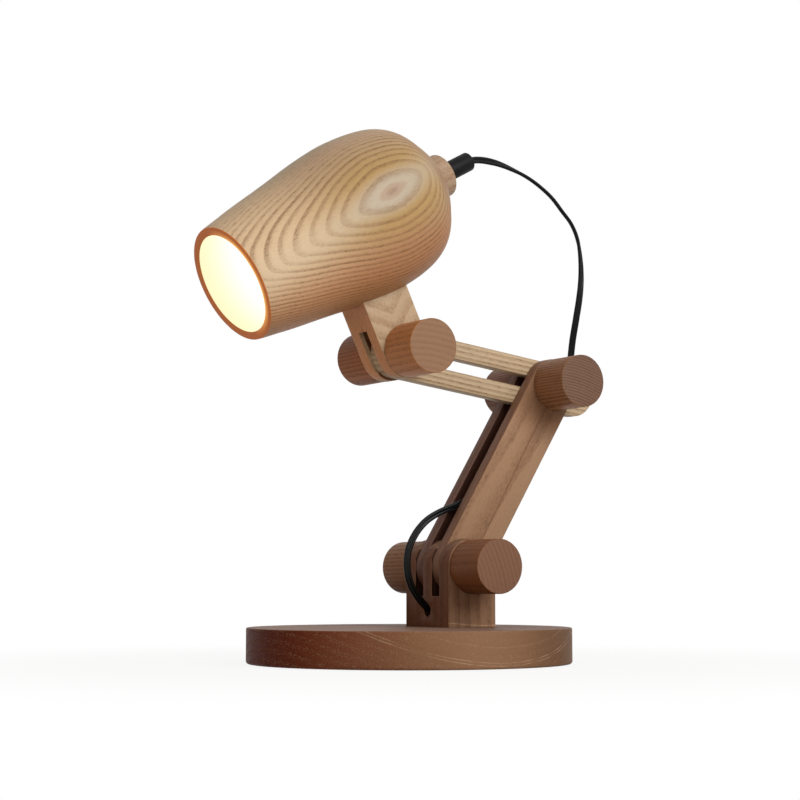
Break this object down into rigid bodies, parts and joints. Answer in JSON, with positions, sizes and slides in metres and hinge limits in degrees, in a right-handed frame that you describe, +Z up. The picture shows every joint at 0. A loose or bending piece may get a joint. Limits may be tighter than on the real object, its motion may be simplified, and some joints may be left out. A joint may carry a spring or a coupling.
{
  "type": "desk_lamp",
  "caption": "Robot shaped wooden desk lamp: a turned cup shade on a slotted forearm and a split lower arm, with round clamping knobs and a disc base.",
  "frame": {"origin": "centre of the base's underside, on the felt", "axes": "+Z up; -Y is where the shade points; X runs along the pivots, +X on the side of the clamping knobs"},
  "size_m": [0.178, 0.2518, 0.2938],
  "materials": {
    "base_wood": "satin oiled reddish brown wood",
    "post_wood": "satin oiled brown wood",
    "arm_wood": "satin oiled tan wood",
    "ash_wood": "satin oiled pale open-grained wood",
    "knob_wood": "satin oiled pinkish brown wood",
    "felt": "matt felt",
    "steel": "zinc plated",
    "brass": "turned",
    "aluminium": "rolled thread",
    "black_plastic": "moulded",
    "black_rubber": "moulded",
    "ceramic": "glazed",
    "bulb_glass": "frosted",
    "cord": "flat twin flex"
  },
  "bodies": {
    "base": {"base_disc": "base_wood", "base_felt": "felt", "post": "post_wood", "post_screws": "steel", "inlet_grommet": "black_rubber", "lower_bolt": "steel", "lower_knob_fixed": "knob_wood", "cord_loop": "cord", "cord_base": "cord"},
    "lower_clamp_knob": {"lower_knob": "knob_wood", "lower_knob_insert": "brass"},
    "lower_arm": {"arm_plate_near": "arm_wood", "arm_plate_far": "arm_wood", "cord_arm": "cord", "cord_elbow": "cord"},
    "elbow_clamp": {"elbow_bolt": "steel", "elbow_knob_fixed": "knob_wood"},
    "elbow_clamp_knob": {"elbow_knob": "knob_wood", "elbow_knob_insert": "brass"},
    "forearm_plate": {"forearm": "ash_wood", "cord_mid": "cord"},
    "head": {"head_bolt": "steel", "head_knob_fixed": "knob_wood", "head_bracket": "ash_wood", "bracket_screw": "steel", "shade": "ash_wood", "neck_collar": "arm_wood", "neck_washer": "black_plastic", "neck_pipe": "steel", "pipe_nut": "steel", "strain_relief": "black_plastic", "lamp_holder": "ceramic", "holder_contact": "brass", "bulb_cap": "aluminium", "bulb_contact": "brass", "bulb_glass": "bulb_glass", "cord_in_head": "cord", "cord_head": "cord"},
    "head_clamp_knob": {"head_knob": "knob_wood", "head_knob_insert": "brass"}
  },
  "joints": [
    {"name": "lower_pivot", "type": "hinge", "parent": "base", "child": "lower_arm", "pos_m": [0, 0.0272, 0.053], "axis": [1, 0, 0], "range_deg": [-30, 35], "deforming": ["cord_loop"]},
    {"name": "elbow_pivot", "type": "hinge", "parent": "lower_arm", "child": "elbow_clamp", "pos_m": [0, 0.09155, 0.15759], "axis": [-1, 0, 0], "range_deg": [-30, 60], "deforming": ["cord_elbow"]},
    {"name": "forearm_slide", "type": "slide", "parent": "elbow_clamp", "child": "forearm_plate", "axis": [0, -0.9914, 0.1305], "range_m": [-0.04, 0.018], "deforming": ["cord_mid"]},
    {"name": "head_pivot", "type": "hinge", "parent": "forearm_plate", "child": "head", "pos_m": [0, -0.00879, 0.1708], "axis": [1, 0, 0], "range_deg": [-40, 60], "deforming": ["cord_head"]},
    {"name": "lower_knob_turn", "type": "hinge", "parent": "base", "child": "lower_clamp_knob", "pos_m": [0, 0.0272, 0.053], "axis": [1, 0, 0], "range_deg": [0, 360]},
    {"name": "elbow_knob_turn", "type": "hinge", "parent": "elbow_clamp", "child": "elbow_clamp_knob", "pos_m": [0, 0.09155, 0.15759], "axis": [1, 0, 0], "range_deg": [0, 360]},
    {"name": "head_knob_turn", "type": "hinge", "parent": "head", "child": "head_clamp_knob", "pos_m": [0, -0.00879, 0.1708], "axis": [1, 0, 0], "range_deg": [0, 360]}
  ]
}
